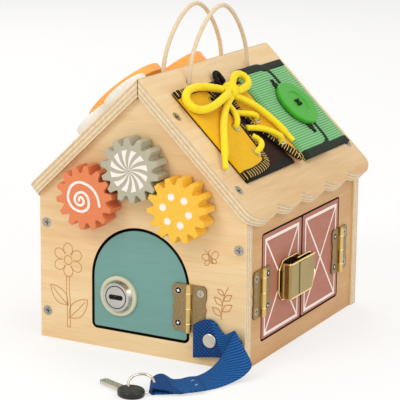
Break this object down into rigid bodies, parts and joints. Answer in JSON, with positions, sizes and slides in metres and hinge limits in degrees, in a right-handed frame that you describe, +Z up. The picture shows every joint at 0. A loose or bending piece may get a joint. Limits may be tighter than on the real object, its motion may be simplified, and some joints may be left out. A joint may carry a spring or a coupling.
{
  "type": "activity house",
  "caption": "Wooden toy house with meshing gears, a locked arched door, latched shutters, a laced panel, a buttoned panel and rope handles.",
  "frame": {"origin": "on the surface the house stands on, under the middle of its four walls", "axes": "+X to the shuttered wall, +Y from the gabled front with the door to the back, +Z up"},
  "size_m": [0.1963, 0.2882, 0.2451],
  "materials": {
    "plywood": "clear lacquered birch plywood",
    "dowel_wood": "bare beech dowel",
    "screw_steel": "plated steel",
    "antique_brass": "satin antique brass",
    "latch_brass": "polished brass plate",
    "coral_wood": "painted wood",
    "grey_wood": "painted wood",
    "yellow_wood": "painted wood",
    "teal_wood": "painted plywood",
    "terracotta_wood": "painted plywood",
    "ivory_plastic": "satin",
    "lock_chrome": "polished nickel plate",
    "lock_steel": "zinc plated",
    "brown_cloth": "woven cloth with overlocked edges",
    "yellow_cloth": "smooth cloth",
    "eyelet_metal": "dull plated",
    "yellow_lace": "braided lace",
    "green_rib": "ribbed knit",
    "green_plastic": "glossy",
    "black_thread": "thread",
    "natural_rope": "smooth cotton cord",
    "white_wood": "painted wood",
    "orange_wood": "painted wood",
    "blue_webbing": "woven webbing",
    "rivet_nickel": "nickel plate",
    "black_plastic": "satin"
  },
  "bodies": {
    "house": {"front_panel": "plywood", "back_panel": "plywood", "left_wall": "plywood", "right_wall": "plywood", "floor_panel": "plywood", "roof_left": "plywood", "roof_right": "plywood", "panel_screws": "screw_steel", "fixed_hinge_leaves": "antique_brass", "hinge_pins": "antique_brass", "fixed_hinge_screws": "screw_steel", "shoe_tongue": "brown_cloth", "lace_flaps": "yellow_cloth", "lace_eyelets": "eyelet_metal", "lace_knot": "yellow_lace", "lace_bows": "yellow_lace", "lace_tails": "yellow_lace", "lace_crossings": "yellow_lace", "button_band": "green_rib", "button_flap": "green_rib", "big_button": "green_plastic", "button_thread": "black_thread", "rope_handle_left": "natural_rope", "rope_handle_right": "natural_rope", "rope_knots": "natural_rope", "cloud_board": "white_wood", "sun_discs": "orange_wood", "strap": "blue_webbing", "strap_rivet": "rivet_nickel", "split_ring": "rivet_nickel", "key_head": "black_plastic", "key_blade": "rivet_nickel"},
    "coral_gear": {"coral_gear": "coral_wood", "coral_gear_axle": "dowel_wood", "coral_gear_washer_and_screw": "screw_steel"},
    "grey_gear": {"grey_gear": "grey_wood", "grey_gear_axle": "dowel_wood", "grey_gear_washer_and_screw": "screw_steel"},
    "yellow_gear": {"yellow_gear": "yellow_wood", "yellow_gear_axle": "dowel_wood", "yellow_gear_washer_and_screw": "screw_steel"},
    "front_door": {"front_door": "teal_wood", "lock_ring": "ivory_plastic", "lock_body": "lock_chrome", "lock_nut": "lock_steel", "door_hinge_leaf": "antique_brass", "door_hinge_screws": "screw_steel"},
    "lock_plug": {"lock_plug": "lock_chrome", "lock_cam": "lock_steel", "cam_screw": "screw_steel"},
    "left_shutter": {"left_shutter": "terracotta_wood", "left_shutter_hinge_leaf": "antique_brass", "left_shutter_screws": "screw_steel", "latch_base": "latch_brass", "latch_pin": "latch_brass"},
    "latch_cover": {"latch_cover": "latch_brass"},
    "right_shutter": {"right_shutter": "terracotta_wood", "right_shutter_hinge_leaf": "antique_brass", "right_shutter_screws": "screw_steel", "latch_strike": "latch_brass"}
  },
  "joints": [
    {"name": "front_door_hinge", "type": "hinge", "parent": "house", "child": "front_door", "pos_m": [0.0409, -0.0996, 0.0408], "axis": [0, 0, 1], "range_deg": [0, 90]},
    {"name": "lock_turn", "type": "hinge", "parent": "front_door", "child": "lock_plug", "pos_m": [-0.0175, -0.0975, 0.041], "axis": [0, -1, 0], "range_deg": [0, 90]},
    {"name": "grey_gear_spin", "type": "hinge", "parent": "house", "child": "grey_gear", "pos_m": [0, -0.0975, 0.1386], "axis": [0, -1, 0], "continuous": true},
    {"name": "coral_gear_spin", "type": "hinge", "parent": "house", "child": "coral_gear", "pos_m": [-0.03759, -0.0975, 0.11441], "axis": [0, -1, 0], "continuous": true},
    {"name": "yellow_gear_spin", "type": "hinge", "parent": "house", "child": "yellow_gear", "pos_m": [0.03759, -0.0975, 0.11441], "axis": [0, -1, 0], "continuous": true},
    {"name": "left_shutter_hinge", "type": "hinge", "parent": "house", "child": "left_shutter", "pos_m": [0.08585, -0.07106, 0.052], "axis": [0, 0, -1], "range_deg": [0, 100]},
    {"name": "right_shutter_hinge", "type": "hinge", "parent": "house", "child": "right_shutter", "pos_m": [0.08585, 0.06374, 0.052], "axis": [0, 0, 1], "range_deg": [0, 100]},
    {"name": "latch_cover_hinge", "type": "hinge", "parent": "left_shutter", "child": "latch_cover", "pos_m": [0.08665, -0.03986, 0.0525], "axis": [0, 0, -1], "range_deg": [0, 90]}
  ],
  "couplings": [
    {"joint": "coral_gear_spin", "follows": "grey_gear_spin", "ratio": -1},
    {"joint": "yellow_gear_spin", "follows": "grey_gear_spin", "ratio": -1},
    {"joint": "right_shutter_hinge", "follows": "left_shutter_hinge", "ratio": 1}
  ]
}
